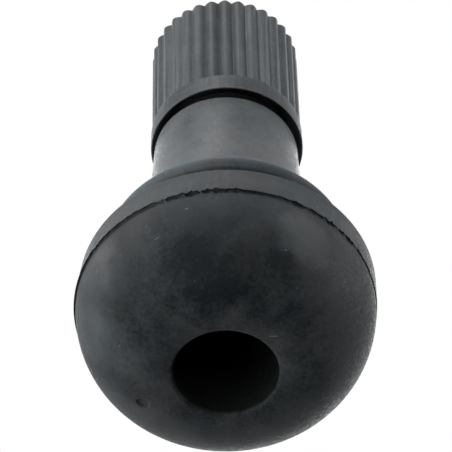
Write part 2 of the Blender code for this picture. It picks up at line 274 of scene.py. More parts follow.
# %% Patches, painted highlights and painted shade at their places
shake = add(tree, "TexNoise", {"Vector": place, "Scale": per(2.5), "Detail": 3})
centred = add(tree, "VectorMath", {0: shake.outputs["Color"], 1: (0.5, 0.5, 0.5)}, operation="SUBTRACT")
shake_width = 3.0
shift = add(tree, "VectorMath", {0: centred.outputs[0], "Scale": shake_width * MM}, operation="SCALE")
shaken = add(tree, "VectorMath", {0: place, 1: shift.outputs[0]}, operation="ADD").outputs[0]
for x, y, z, reach, strength in (
    # Painted highlight at the right of the base's rim.
    (4.6, -7.5, 3.6, 2.5, 0.44),
    (2.6, -8.6, 4.7, 2.0, 0.12),
    (1.6, -6.6, 1.1, 3.2, -0.11),
    (-7.9, -4.6, 4.2, 2.4, 0.22),
    (-8.3, -1.2, 2.6, 2.8, 0.18),
    (-4.0, -7.8, 3.2, 1.6, 0.06),
    (6.2, -4.8, 1.9, 1.8, 0.04),
    (-6.8, -1.3, 0.9, 3.2, 0.12),
    (-1.0, -6.8, 1.6, 3.4, -0.08),
    (7.0, -5.2, 3.6, 2.6, 0.12),
    (-7.2, -5.6, 4.4, 1.4, 0.14),
    # Painted highlight down the neck in two spots, then painted shade to its left.
    (-0.9, -4.8, 20.6, 1.7, 0.14),
    (-0.9, -4.8, 18.0, 1.7, 0.14),
    (-3.0, -4.0, 18.6, 2.6, -0.12),
):
    away = add(tree, "VectorMath", {0: shaken, 1: (x * MM, y * MM, z * MM)}, operation="DISTANCE")
    spot = (away.outputs["Value"], 0.3 * reach * MM, reach * MM, strength, 0)
    bloom_and_painted_light = layered(tree, bloom_and_painted_light, (spot,))
bloom_and_painted_light.node.use_clamp = True
print("nodes with the smudges:", len(tree.nodes))

# %% [markdown]
# The film's grey is a little bluer in some patches and a little warmer in others. Inside the air hole the
# skin is painted plain black, as painted shade: on all that lies within the hole's radius and above the flat
# of the base. The flat itself, and everything outside that radius, has the film.

# %% Colours of the rubber
warmer = layered(tree, 0.0, ((noises["mottle"], 0.42, 0.62, 0, 1),))
pale = add(tree, "Mix", {0: warmer, 6: colour("61696E"), 7: colour("67696B")}, data_type="RGBA")
film_and_painted_light = add(tree, "Mix", {0: bloom_and_painted_light, 6: colour("0F1518"), 7: pale.outputs[2]}, data_type="RGBA")
outside_hole = layered(tree, 0.0, ((from_hole, 3.25 * MM, 3.5 * MM, 0, 1),))
on_flat = layered(tree, 0.0, ((height, 0.05 * MM, 0.4 * MM, 1, 0),))
outside_hole_shade = add(tree, "Math", {0: outside_hole, 1: on_flat}, operation="MAXIMUM").outputs[0]
# 101312 is painted shade inside the air hole.
skin = add(tree, "Mix", {0: outside_hole_shade, 6: colour("101312"), 7: film_and_painted_light.outputs[2]}, data_type="RGBA")
print("nodes with the colours:", len(tree.nodes))

# %% [markdown]
# Dust and scratches are pale. Dust is one dot in some of the cells of a Voronoi pattern. Scratches are the
# same dots on coordinates squeezed across one direction, which draws them out to dashes. Four scratches
# that the photograph shows have their own places: each is a thin ellipsoid round a point.

# %% Dust and scratches
cells = add(tree, "TexVoronoi", {"Vector": place, "Scale": per(0.9)})
dot = add(tree, "Math", {0: cells.outputs["Distance"], 1: 0.05}, operation="LESS_THAN")
chosen = add(tree, "SeparateXYZ", {0: cells.outputs["Color"]})
few = add(tree, "Math", {0: chosen.outputs[0], 1: 0.66}, operation="GREATER_THAN")
dust = add(tree, "Math", {0: dot.outputs[0], 1: few.outputs[0]}, operation="MULTIPLY")
tilted = add(tree, "Mapping", {0: place, "Rotation": (0.4, 0.9, 0.5), "Scale": (1, 9, 7)})
dashes = add(tree, "TexVoronoi", {"Vector": tilted.outputs[0], "Scale": per(4.5)})
dash = add(tree, "Math", {0: dashes.outputs["Distance"], 1: 0.07}, operation="LESS_THAN")
kept = add(tree, "SeparateXYZ", {0: dashes.outputs["Color"]})
some = add(tree, "Math", {0: kept.outputs[1], 1: 0.8}, operation="GREATER_THAN")
scratch = add(tree, "Math", {0: dash.outputs[0], 1: some.outputs[0]}, operation="MULTIPLY")
marks = add(tree, "Math", {0: dust.outputs[0], 1: scratch.outputs[0]}, operation="MAXIMUM")
for middle, turned, length in (
    ((1.32, -4.69, 17.6), (0, -26, 0), 0.32),
    ((-4.1, -7.7, 3.2), (0, 75, 0), 0.25),
    ((-3.9, -7.3, 2.6), (0, 60, 0), 0.18),
    ((-7.9, -4.6, 4.0), (0, 30, 0), 0.22),
):
    into = add(tree, "Mapping", {0: place}, vector_type="TEXTURE")
    into.inputs["Location"].default_value = [value * MM for value in middle]
    into.inputs["Rotation"].default_value = [math.radians(value) for value in turned]
    into.inputs["Scale"].default_value = (0.035 * MM, 0.25 * MM, length * MM)
    away = add(tree, "VectorMath", {0: into.outputs[0]}, operation="LENGTH").outputs["Value"]
    one = layered(tree, 0.0, ((away, 0.5, 1.0, 1, 0),))
    marks = add(tree, "Math", {0: marks.outputs[0], 1: one}, operation="MAXIMUM")
marks = add(tree, "Math", {0: marks.outputs[0], 1: outside_hole_shade}, operation="MULTIPLY")
mark_strength = 0.4
marks = add(tree, "Math", {0: marks.outputs[0], 1: mark_strength}, operation="MULTIPLY")
base = add(tree, "Mix", {0: marks.outputs[0], 6: skin.outputs[2], 7: colour("8A8E91")}, data_type="RGBA")
tree.links.new(base.outputs[2], shader.inputs["Base Color"])
print("nodes with dust and scratches:", len(tree.nodes))

# %% [markdown]
# The neck was in a smoother part of the mould and is glossier than the base. The bumps are the faint
# unevenness of moulded rubber and its fine grain, which are too small to model.

# %% Gloss and bumps of the rubber
rough = layered(tree, 0.0, (
    (height, 10.0 * MM, 15.0 * MM, 0.60, 0.43),
    (noises["smudges"], 0.3, 0.7, -0.05, 0.05),
    (noises["patches"], 0.3, 0.7, -0.04, 0.04),
    (noises["specks"], 0.3, 0.7, -0.12, 0.12),
))
tree.links.new(rough, shader.inputs["Roughness"])
dents = add(tree, "Bump", {"Strength": 0.35, "Distance": 0.05 * MM, "Height": noises["smudges"]})
fine = add(
    tree,
    "Bump",
    {"Strength": 0.8, "Distance": 0.03 * MM, "Height": noises["specks"], "Normal": dents.outputs[0]},
)
tree.links.new(fine.outputs[0], shader.inputs["Normal"])
shader.inputs["Specular IOR Level"].default_value = 0.17
print("rubber nodes:", len(tree.nodes))

# %% [markdown]
# ## The rubber body
# One moulding: a domed base with the air hole, a flange, the groove that grips the wheel rim, a bulge
# that is pulled through the rim's hole, and a neck that flares a little toward its foot. The mould parts
# round the widest place, which leaves a step with a shadow under it. There the section steps in and out.

# %% Section of the rubber body
base_flat = 4.22
dome_rim = (9.34, 5.85)
dome_steps = 30
dome = []
for step in range(1, dome_steps + 1):
    angle = math.pi / 2 * step / dome_steps
    dome.append((
        base_flat + (dome_rim[0] - base_flat) * math.sin(angle),
        dome_rim[1] * (1 - math.cos(angle)),
    ))
stem_pocket = [
    (3.35, 22.6), (3.35, 14.0), (3.7, 13.65), (3.7, 13.15), (3.35, 12.8), (3.35, 11.6),
    (3.7, 11.25), (3.7, 10.75), (3.35, 10.4), (3.35, 9.2), (4.25, 8.3), (4.25, 6.95),
]
rubber_section = [
    (3.24, 6.95),
    (3.24, 0, 0.22),
    (base_flat, 0),
    *dome,
    (9.28, 5.96),
    (9.42, 5.88),
    (9.4, 6.25),
    (9.28, 8.2, 0.2),
    (5.95, 8.2, 0.35),
    (5.95, 10.4, 0.35),
    (8.0, 11.3, 0.42),
    (5.1, 14.5, 1.3),
    (4.74, 22.6, 0.18),
    *stem_pocket,
    (3.24, 6.95),
]
body = draw_section("rubber_valve_body", rubber_section)
body_sides = 384
turn(body, body_sides)
print("points along the section:", len(body.data.vertices) // body_sides)

# %% [markdown]
# The pin that kept the air hole open stood a little off centre in the mould, so the hole's mouth lies
# toward the back. Its rings of points are moved there.

# %% Move the mouth of the air hole
mouth_reach = 3.6
mouth_top = 0.5
make_active(body)
bpy.ops.object.mode_set(mode="EDIT")
mouth = pick(body, lambda x, y, z: math.hypot(x, y) < mouth_reach and z < mouth_top)
bpy.ops.transform.translate(value=(0, hole_shift * MM, 0))
bpy.ops.object.mode_set(mode="OBJECT")
print("points at the hole's mouth:", mouth)

# %% [markdown]
# The two halves of the mould don't meet quite true. Above the parting line, the flange and the bulge lie a
# tenth of a millimetre to the right of the base, while the flange's lower lip comes out a little toward the
# front. Moving those rings is enough, because the faces between them take up the difference. Each row below
# gives the heights between which points move, and the move across, in mm.

# %% Shift the upper mould half
outer_wall = 7.0
make_active(body)
bpy.ops.object.mode_set(mode="EDIT")
for lowest, highest, moved in ((5.86, 6.1, (-0.04, -0.05)), (7.0, 12.9, (0.1, 0))):
    shifted = pick(body, lambda x, y, z: math.hypot(x, y) > outer_wall and lowest < z < highest)
    bpy.ops.transform.translate(value=(moved[0] * MM, moved[1] * MM, 0))
    print("points moved between", lowest, "and", highest, "mm:", shifted)
bpy.ops.object.mode_set(mode="OBJECT")

# %% [markdown]
# The mould doesn't close perfectly, and a thin ragged flash stands along part of the parting line. It is
# made by shaking the vertices of the flange's lower edge with Randomize, only where the photograph has it.
# Each row below gives a stretch of the edge in degrees, and how far its points are shaken, in mm.

# %% Ragged flash on the parting line


def facing(x, y):
    """Degrees round the valve from the side that the photograph shows, to the right."""
    return math.degrees(math.atan2(x, -y))


edge_reach = 9.3
edge_foot = 5.84
edge_top = 5.93
make_active(body)
bpy.ops.object.mode_set(mode="EDIT")
for first, last, size in (
    (-62, -27, 0.05),
    (-27, 6, 0.13),
    (20, 22, 0.2),
    (24, 36, 0.14),
    (36, 62, 0.12),
):
    loose = pick(body, lambda x, y, z: (
        math.hypot(x, y) > edge_reach and edge_foot < z < edge_top and first < facing(x, y) < last
    ))
    bpy.ops.transform.vertex_random(offset=size * MM, uniform=0, normal=0, seed=5)
    print("flash from", first, "to", last, "degrees:", loose, "points")
bpy.ops.object.mode_set(mode="OBJECT")

# %% [markdown]
# A pin in the mould left one small round pit beside the hole. The faces there are too wide for it, so they
# are subdivided first. The pit is then pressed in by moves into the rubber, each with a smaller circle of
# points than the last, which gives it a steep wall and a rounded floor. The mark's place is in mm, and
# inward is the direction into the rubber there.

# %% Press in the mould mark
mark = (-5.07, 2.69, 0.29)
inward = (0.30, -0.16, 0.94)
make_active(body)
bpy.ops.object.mode_set(mode="EDIT")
for reach, cuts in ((0.75, 1), (0.6, 2)):
    pick(body, lambda x, y, z: math.dist((x, y, z), mark) < reach)
    bpy.ops.mesh.subdivide(number_cuts=cuts)
for reach, depth in ((0.45, 0.03), (0.41, 0.05), (0.37, 0.05), (0.32, 0.03)):
    pressed = pick(body, lambda x, y, z: math.dist((x, y, z), mark) < reach)
    bpy.ops.transform.translate(value=[part * depth * MM for part in inward])
    print("pit of reach", reach, "mm:", pressed, "points")
bpy.ops.object.mode_set(mode="OBJECT")
hand_over(body, "rubber_body", "valve_body", rubber, sharp=40)

# %% [markdown]
# ## Moulded black plastic
# The cap is injection-moulded in black nylon. The steel of the mould was cut lengthwise for the flutes and
# turned for the plain band, so fine streaks run along the flutes and round the band. The crests' tops and
# the band's lower edge are paler, and the valleys between the flutes are painted paler, as painted light
# against the shade in them. The gloss is satin.

# %% Black plastic finish
plastic, tree, shader, place = new_finish("moulded_black_nylon")
across = add(tree, "VectorMath", {0: place, 1: (1, 1, 0)}, operation="MULTIPLY")
radius = add(tree, "VectorMath", {0: across.outputs[0]}, operation="LENGTH").outputs["Value"]
along = add(tree, "Mapping", {0: place, "Scale": (1, 1, 0.06)})
inputs = {"Vector": along.outputs[0], "Scale": per(0.25), "Detail": 4, "Roughness": 0.6}
streaks = add(tree, "TexNoise", inputs)
lengthwise = add(tree, "Mapping", {0: place, "Scale": (1, 1, 0.02), "Location": (0.003, 0.001, 0)})
lines = add(tree, "TexNoise", {"Vector": lengthwise.outputs[0], "Scale": per(0.3), "Detail": 1})
broad = add(tree, "TexNoise", {"Vector": lengthwise.outputs[0], "Scale": per(1.1), "Detail": 1})
blotches = add(tree, "TexNoise", {"Vector": place, "Scale": per(1.8), "Detail": 4, "Roughness": 0.6})
grain = add(tree, "TexNoise", {"Vector": place, "Scale": per(0.2), "Detail": 2})
rounds = add(tree, "Mapping", {0: place, "Scale": (0.03, 0.03, 1)})
rings = add(tree, "TexNoise", {"Vector": rounds.outputs[0], "Scale": per(0.16), "Detail": 2})
height = add(tree, "SeparateXYZ", {0: place}).outputs["Z"]
cut_lengthwise = layered(tree, 0.0, (
    (broad.outputs[0], 0.3, 0.7, -0.2, 0.2),
    (streaks.outputs[0], 0.3, 0.7, -0.26, 0.26),
    (lines.outputs[0], 0.60, 0.68, 0, 0.30),
    (lines.outputs[0], 0.34, 0.42, -0.22, 0),
))
turned_round = layered(tree, 0.0, ((rings.outputs[0], 0.3, 0.7, -0.16, 0.16),))
on_flutes = layered(tree, 0.0, ((height, 24.65 * MM, 24.85 * MM, 0, 1),))
on_band = layered(tree, 0.0, ((height, 24.65 * MM, 24.85 * MM, 1, 0),))
flutes = add(tree, "Math", {0: cut_lengthwise, 1: on_flutes}, operation="MULTIPLY").outputs[0]
band = add(tree, "Math", {0: turned_round, 1: on_band}, operation="MULTIPLY").outputs[0]
wear_and_painted_light = add(tree, "Math", {0: flutes, 1: band}, operation="ADD").outputs[0]
wear_and_painted_light = layered(tree, wear_and_painted_light, (
    # Paler down in the flutes' valleys: painted light against the shade there.
    (radius, 4.66 * MM, 4.85 * MM, 0.52, 0.40),
    (radius, 4.95 * MM, 4.965 * MM, 0, 0.16),
    (radius, 4.975 * MM, 5.0 * MM, 0, -0.32),
    (height, 23.3 * MM, 23.6 * MM, 0.25, 0),
    (grain.outputs[0], 0.3, 0.7, -0.12, 0.12),
    (blotches.outputs[0], 0.3, 0.7, -0.18, 0.18),
))
wear_and_painted_light.node.use_clamp = True
tone = add(tree, "Mix", {0: wear_and_painted_light, 6: colour("272C30"), 7: colour("4F555A")}, data_type="RGBA")
tree.links.new(tone.outputs[2], shader.inputs["Base Color"])
satin = add(tree, "MapRange", {0: streaks.outputs[0], 1: 0.3, 2: 0.7, 3: 0.42, 4: 0.6})
tree.links.new(satin.outputs[0], shader.inputs["Roughness"])
drawn = add(tree, "Bump", {"Strength": 0.4, "Distance": 0.02 * MM, "Height": streaks.outputs[0]})
fine = add(
    tree,
    "Bump",
    {"Strength": 0.4, "Distance": 0.01 * MM, "Height": grain.outputs[0], "Normal": drawn.outputs[0]},
)
tree.links.new(fine.outputs[0], shader.inputs["Normal"])
shader.inputs["Specular IOR Level"].default_value = 0.3
print("plastic nodes:", len(tree.nodes))

# %% [markdown]
# ## The screw cap
# The cap has 32 flutes for the fingers: round ridges with narrow valleys between them. One ridge is drawn
# from valley to valley, and Spin with duplicates repeats it round the axis. The closed loop is then
# extruded ring by ring: up over the round end, where To Sphere evens the flutes out, and down over the
# plain band, round the mouth and up the inside to the roof.

# %% One ridge, repeated
flute_count = 32
flute_crest = 4.97
flute_valley = 4.68
ridge_steps = 12
flute_foot = 24.8


def ridge_point(share):
    """A point of one ridge in mm, from one valley at share -1 to the next at share 1."""
    angle = share * math.pi / flute_count
    out = flute_valley + (flute_crest - flute_valley) * (1 - abs(share) ** 1.7)
    return out * math.cos(angle), out * math.sin(angle)


x, y = ridge_point(-1)
cap = start_at("fluted_screw_cap", x, y, flute_foot)
for step in range(1, ridge_steps + 1):
    next_x, next_y = ridge_point(2 * step / ridge_steps - 1)
    bpy.ops.mesh.extrude_region_move(
        TRANSFORM_OT_translate={"value": ((next_x - x) * MM, (next_y - y) * MM, 0)}
    )
    x, y = next_x, next_y
bpy.ops.mesh.select_all(action="SELECT")
bpy.ops.mesh.spin(steps=flute_count, dupli=True, angle=2 * math.pi, center=(0, 0, 0), axis=(0, 0, 1))
bpy.ops.mesh.select_all(action="SELECT")
bpy.ops.mesh.remove_doubles(threshold=WELD)
valleys = pick(cap, lambda x, y, z: math.hypot(x, y) < flute_valley + 0.01)
bpy.ops.mesh.bevel(offset=0.05 * MM, segments=2, affect="VERTICES")
print("flutes:", valleys, "points in the loop:", len(bmesh.from_edit_mesh(cap.data).verts))

# %% Extrude the loop into the cap


def add_ring(piece, widest, height, evenness=0.0):
    """Extrude the selected loop to a height in mm, even it out, and scale it to its widest radius."""
    mesh = bmesh.from_edit_mesh(piece.data)
    now = next(vert.co.z for vert in mesh.verts if vert.select)
    bpy.ops.mesh.extrude_region_move(TRANSFORM_OT_translate={"value": (0, 0, height * MM - now)})
    if evenness:
        bpy.ops.transform.tosphere(value=evenness)
    mesh = bmesh.from_edit_mesh(piece.data)
    reach = max(vert.co.xy.length for vert in mesh.verts if vert.select)
    scale = widest * MM / reach
    bpy.ops.transform.resize(value=(scale, scale, 1), center_override=(0, 0, height * MM))


end_round = 0.14
cap_end = 33.95
round_steps = 5
bpy.ops.mesh.select_all(action="SELECT")
add_ring(cap, flute_crest, cap_end - end_round)
for step in range(1, round_steps + 1):
    angle = math.pi / 2 * step / round_steps
    add_ring(
        cap,
        flute_crest - end_round * (1 - math.cos(angle)),
        cap_end - end_round * (1 - math.sin(angle)),
        evenness=0.03,
    )
for widest, height in ((4.2, 33.95), (1.05, 33.95), (0.9, 33.85), (0.34, 33.85), (0.26, 33.93)):
    add_ring(cap, widest, height, evenness=1.0)
bpy.ops.mesh.merge(type="CENTER")

pick(cap, lambda x, y, z: abs(z - flute_foot) < 1e-3)
for widest, height in (
    (4.99, 24.76), (5.03, 24.70), (5.04, 24.6), (5.05, 23.32), (5.045, 23.23), (5.02, 23.2), (4.98, 23.2),
    (4.96, 23.22), (4.70, 23.66), (4.68, 24.2), (4.6, 24.4), (3.9, 25.1),
    (3.45, 25.5), (3.45, 31.1), (3.95, 31.35), (3.95, 32.5), (3.85, 32.65), (3.6, 32.7),
):
    add_ring(cap, widest, height, evenness=1.0)
bpy.ops.mesh.merge(type="CENTER")
close_up()
print("cap faces before its thread:", len(cap.data.polygons))

# %% [markdown]
# ## Screw threads
# The cap's thread is 7.7 mm across with 32 turns per inch, so 0.79375 mm from turn to turn, with flanks
# at 60 degrees. A real thread is a groove cut into a blank, and so it is here: a groove section is swept
# along a helix by the Screw modifier and taken out of the blank by a Boolean.
#
# On the real valve the helices of a pair lie half a turn apart, so that the ridge of one runs in the groove
# of the other. Both would have to be counted from one height for that. Here each is counted from its own
# cutter's foot, so the cap lies 0.24 of a turn from the stem and the plug 0.21, and their ridges run about
# 0.2 mm into each other where the closed cap and the stem hide them. That is a known fault of this model.

# %% A helical cutter
cap_pitch = 25.4 / 32
core_pitch = 25.4 / 36


def groove_cutter(root, crest, flat, pitch, foot, top, shift=0.0):
    """A closed helical groove in mm, raised by shift turns. It opens at 60 degrees from its flat root."""
    depth = abs(crest - root)
    open_half = flat / 2 + depth * math.tan(math.radians(30))
    beyond = crest + 0.25 * (crest - root) / depth
    low = foot + shift * pitch
    section = [
        (root, low - flat / 2), (crest, low - open_half), (beyond, low - open_half),
        (beyond, low + open_half), (crest, low + open_half), (root, low + flat / 2), (root, low - flat / 2),
    ]
    cutter = draw_section("groove_cutter", section)
    bpy.ops.object.mode_set(mode="OBJECT")
    bpy.ops.object.modifier_add(type="SCREW")
    screw = cutter.modifiers[-1]
    screw.axis = "Z"
    screw.angle = 2 * math.pi
    screw.screw_offset = pitch * MM
    screw.iterations = max(1, round((top - foot) / pitch))
    screw.steps = 72
    screw.render_steps = 72
    bpy.ops.object.modifier_apply(modifier=screw.name)
    bpy.ops.object.mode_set(mode="EDIT")
    bpy.ops.mesh.select_all(action="SELECT")
    bpy.ops.mesh.fill_holes(sides=0)
    close_up()
    return cutter


cut(cap, groove_cutter(3.95, 3.45, 0.08, cap_pitch, 24.0, 31.2))
print("cap faces with its thread:", len(cap.data.polygons))

# %% [markdown]
# A moulded thread has some play, and the photograph shows the cap leaning a little to the left on it, so
# that the black gap under its mouth is wider on the right. The lean moves the ends of the thread by
# 0.05 mm. The mouth's edge also has one small nick.

# %% Lean the cap
lean = 0.8
thread_middle = 27.5
nick_depth = 0.05
make_active(cap)
bpy.ops.object.mode_set(mode="EDIT")
nicked = pick(cap, lambda x, y, z: z < 23.225 and 28.5 < facing(x, y) < 31)
bpy.ops.transform.translate(value=(0, 0, -nick_depth * MM))
bpy.ops.mesh.select_all(action="SELECT")
bpy.ops.transform.rotate(
    value=math.radians(lean),
    orient_axis="Y",
    center_override=(0, 0, thread_middle * MM),
)
bpy.ops.object.mode_set(mode="OBJECT")
end_x = [vert.co.x / MM for vert in cap.data.vertices if vert.co.z > 33.9 * MM]
print("points in the nick:", nicked, "end of the cap, x in mm:", round((min(end_x) + max(end_x)) / 2, 3))
hand_over(cap, "cap", "cap", plastic)

# %% [markdown]
# ## Turned brass
# The stem and the core are turned from brass bar. The tool leaves rings a few hundredths of a millimetre
# apart, which spread the shine round the axis. They are drawn here at 0.08 mm, as fine as a render of this
# size can show. Handled brass also has warmer, duller patches. The stem's buried part is dipped in black
# bonding cement, so that the rubber sticks to it, and its foot looks black through the air hole. The black
# runs on up to 25.6 mm, over the first turns of the cap's thread in the gap under the cap's mouth, and there
# it is painted shade.

# %% Brass finishes


def turned_brass(name, bright, dull, black_cement_and_shade_top=None):
    """Brass with turning rings and dull patches, black below a height in mm if one is given: cement, and
    above the rubber painted shade.
    """
    material, tree, shader, place = new_finish(name)
    height = add(tree, "SeparateXYZ", {0: place}).outputs["Z"]
    rings = add(tree, "Mapping", {0: place, "Scale": (0.02, 0.02, 1)})
    ring_noise = add(tree, "TexNoise", {"Vector": rings.outputs[0], "Scale": per(0.08), "Detail": 3})
    patch = add(tree, "TexNoise", {"Vector": place, "Scale": per(1.5), "Detail": 4, "Roughness": 0.6})
    patch_share = add(tree, "MapRange", {0: patch.outputs[0], 1: 0.4, 2: 0.7, 3: 0, 4: 0.8})
    tone = add(
        tree,
        "Mix",
        {0: patch_share.outputs[0], 6: colour(bright), 7: colour(dull)},
        data_type="RGBA",
    )
    gloss = add(tree, "MapRange", {0: ring_noise.outputs[0], 1: 0.3, 2: 0.7, 3: 0.22, 4: 0.38})
    cut_rings = add(tree, "Bump", {"Strength": 0.3, "Distance": 0.01 * MM, "Height": ring_noise.outputs[0]})
    base, rough = tone.outputs[2], gloss.outputs[0]
    if black_cement_and_shade_top:
        bare = add(
            tree,
            "MapRange",
            {0: height, 1: (black_cement_and_shade_top - 0.1) * MM, 2: (black_cement_and_shade_top + 0.1) * MM, 3: 0, 4: 1},
        )
        cement_and_shade = add(tree, "Mix", {0: bare.outputs[0], 6: colour("0A0A0A"), 7: base}, data_type="RGBA")
        matt = add(tree, "MapRange", {0: bare.outputs[0], 3: 0.85, 4: 0.3})
        base, rough = cement_and_shade.outputs[2], matt.outputs[0]
        tree.links.new(bare.outputs[0], shader.inputs["Metallic"])
    else:
        shader.inputs["Metallic"].default_value = 1.0
    tree.links.new(base, shader.inputs["Base Color"])
    tree.links.new(rough, shader.inputs["Roughness"])
    tree.links.new(cut_rings.outputs[0], shader.inputs["Normal"])
    return material


# The black runs up to 25.6 mm: cement on the buried part, painted shade in the gap under the cap's mouth.
stem_brass = turned_brass("turned_stem_brass", "E2CB92", "A9925E", black_cement_and_shade_top=25.6)
core_brass = turned_brass("turned_core_brass", "DCC592", "9E8858")
print("brass finishes:", stem_brass.name, core_brass.name)

# %% [markdown]
# ## The brass stem
# A ribbed stalk that the rubber can't be pulled off, a thread for the cap outside, and inside it a thread
# for the core above the cone that the core's red seal is pressed into. The blank is turned first, and both
# threads are then cut, as on a lathe.

# %% Turn and thread the stem
stem_outside = [
    (4.2, 7.0, 0.15), (4.2, 8.3), (3.3, 9.2), (3.3, 10.4), (3.65, 10.75, 0.1), (3.65, 11.25, 0.1),
    (3.3, 11.6), (3.3, 12.8), (3.65, 13.15, 0.1), (3.65, 13.65, 0.1), (3.3, 14.0), (3.3, 22.65),
    (3.62, 22.65), (3.85, 22.88), (3.85, 31.35), (3.4, 31.8, 0.05),
]
stem_inside = [
    (2.8, 31.8, 0.05), (2.25, 31.25), (2.25, 25.2), (2.45, 25.0), (2.4, 24.5), (2.1, 22.7),
    (1.95, 22.55), (1.95, 7.0, 0.1), (4.2, 7.0),
]
stem = draw_section("brass_stem", stem_outside + stem_inside[:-1] + [stem_outside[0][:2]])
turn(stem, 144)
cut(stem, groove_cutter(3.36, 3.85, 0.1, cap_pitch, 23.0, 32.6, shift=0.5))
cut(stem, groove_cutter(2.65, 2.25, 0.07, core_pitch, 25.4, 32.0))
hand_over(stem, "stem_insert", "valve_body", stem_brass)

# %% [markdown]
# ## The valve core
# The core is a valve of its own that screws into the stem. Its plug has a thread and two flats for the
# core tool, and its barrel hangs in the plug by a swivel flange, so the seal isn't twisted when it is
# tightened. A pin runs through both, and a spring keeps the washer at its lower end shut.

# %% Plug with its flats and thread
plug_section = [
    (1.45, 25.2), (2.35, 25.2), (2.6, 25.45), (2.6, 29.35), (2.35, 29.6), (0.85, 29.6, 0.08), (0.85, 28.7),
    (1.9, 28.7), (1.9, 25.7), (1.45, 25.7), (1.45, 25.2),
]
plug = draw_section("core_plug_body", plug_section)
turn(plug, 96)
across_flats = 2.3
flats_foot = 28.2
block = 5.2
for side in (-1, 1):
    middle_y = side * (across_flats / 2 + block / 2)
    bpy.ops.object.select_all(action="DESELECT")
    bpy.ops.mesh.primitive_cube_add(
        size=block * MM,
        location=(0, middle_y * MM, (flats_foot + block / 2) * MM),
    )
    cut(plug, bpy.context.object)
cut(plug, groove_cutter(2.18, 2.6, 0.09, core_pitch, 24.9, 30.0, shift=0.5))
hand_over(plug, "core_plug", "valve_body", core_brass)

# %% Barrel, pin and cup
barrel = draw_section("core_barrel_tube", [
    (0.9, 14.4), (1.8, 14.4, 0.08), (1.8, 24.55), (2.2, 24.55, 0.06), (2.2, 25.1, 0.06), (1.35, 25.1),
    (1.35, 25.8), (1.8, 25.8, 0.05), (1.8, 26.3, 0.08), (0.85, 26.3), (0.85, 24.1), (1.37, 24.1),
    (1.37, 15.1), (0.9, 15.1), (0.9, 14.4),
])
turn(barrel, 96)
hand_over(barrel, "core_barrel", "valve_body", core_brass)

pin = draw_section("core_pin_rod", [
    (0, 12.7), (0.5, 12.7), (0.95, 12.82, 0.06), (0.95, 13.0, 0.03), (0.5, 13.0), (0.5, 23.45),
    (1.22, 23.45, 0.06), (1.22, 23.95, 0.06), (0.7, 23.95), (0.7, 31.5, 0.34), (0, 31.5),
])
turn(pin, 72)
hand_over(pin, "core_pin", "pin", core_brass)

cup = draw_section("washer_cup", [
    (0.55, 13.05), (1.7, 13.05, 0.22), (1.7, 14.05, 0.04), (1.5, 14.05, 0.04), (1.5, 13.5, 0.08),
    (0.55, 13.5), (0.55, 13.05),
])
turn(cup, 96)
hand_over(cup, "poppet_cup", "pin", core_brass)

# %% [markdown]
# ## Drawn spring wire
# The wire is drawn through a die, which leaves fine lines along it, and it stays bare and bright. The coil
# is modelled as it is wound: the round end of the wire is extruded, lifted and turned about the axis, step
# by step. Each move is small, so the wire keeps its thickness.

# %% Spring wire finish
wire_steel, tree, shader, place = new_finish("drawn_spring_steel")
draw_lines = add(tree, "TexNoise", {"Vector": place, "Scale": per(0.06), "Detail": 3})
shine = add(tree, "MapRange", {0: draw_lines.outputs[0], 1: 0.3, 2: 0.7, 3: 0.2, 4: 0.36})
wire_tone = add(
    tree,
    "Mix",
    {0: draw_lines.outputs[0], 6: colour("A9ABAC"), 7: colour("C9CACB")},
    data_type="RGBA",
)
tree.links.new(wire_tone.outputs[2], shader.inputs["Base Color"])
tree.links.new(shine.outputs[0], shader.inputs["Roughness"])
shader.inputs["Metallic"].default_value = 1.0
print("wire nodes:", len(tree.nodes))

# %% Wind the spring
wire = 0.3
coil_radius = 1.17
spring_foot = 15.15
spring_top = 23.4
steps_per_turn = 24
lifts = []
for step in range(8 * steps_per_turn):
    turns = step / steps_per_turn
    closed = turns < 1 or turns >= 7
    lifts.append(0.55 if closed else 1.0)
rise = (spring_top - spring_foot - wire) / sum(lifts)
bpy.ops.object.select_all(action="DESELECT")
bpy.ops.mesh.primitive_circle_add(
    vertices=12,
    radius=wire / 2 * MM,
    fill_type="NGON",
    location=(coil_radius * MM, 0, (spring_foot + wire / 2) * MM),
    rotation=(math.pi / 2, 0, 0),
)
spring = bpy.context.object
spring.name = "core_spring_coil"
bpy.ops.object.transform_apply(location=True, rotation=True, scale=False)
bpy.ops.object.mode_set(mode="EDIT")
bpy.ops.mesh.select_all(action="SELECT")
for lift in lifts:
    bpy.ops.mesh.extrude_region_move(TRANSFORM_OT_translate={"value": (0, 0, lift * rise * MM)})
    bpy.ops.transform.rotate(
        value=-2 * math.pi / steps_per_turn,
        orient_axis="Z",
        center_override=(0, 0, 0),
    )
close_up()
hand_over(spring, "core_spring", "valve_body", wire_steel, sharp=60)
pressed = 1.5
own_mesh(spring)

# %% [markdown]
# ## Seals
# The red ring on the barrel is a moulded rubber seal, matt and even in colour. The washer in the cup and the
# disc in the cap are soft black rubber. The stem's edge has pressed a shallow step into the disc.

# %% Seal finishes


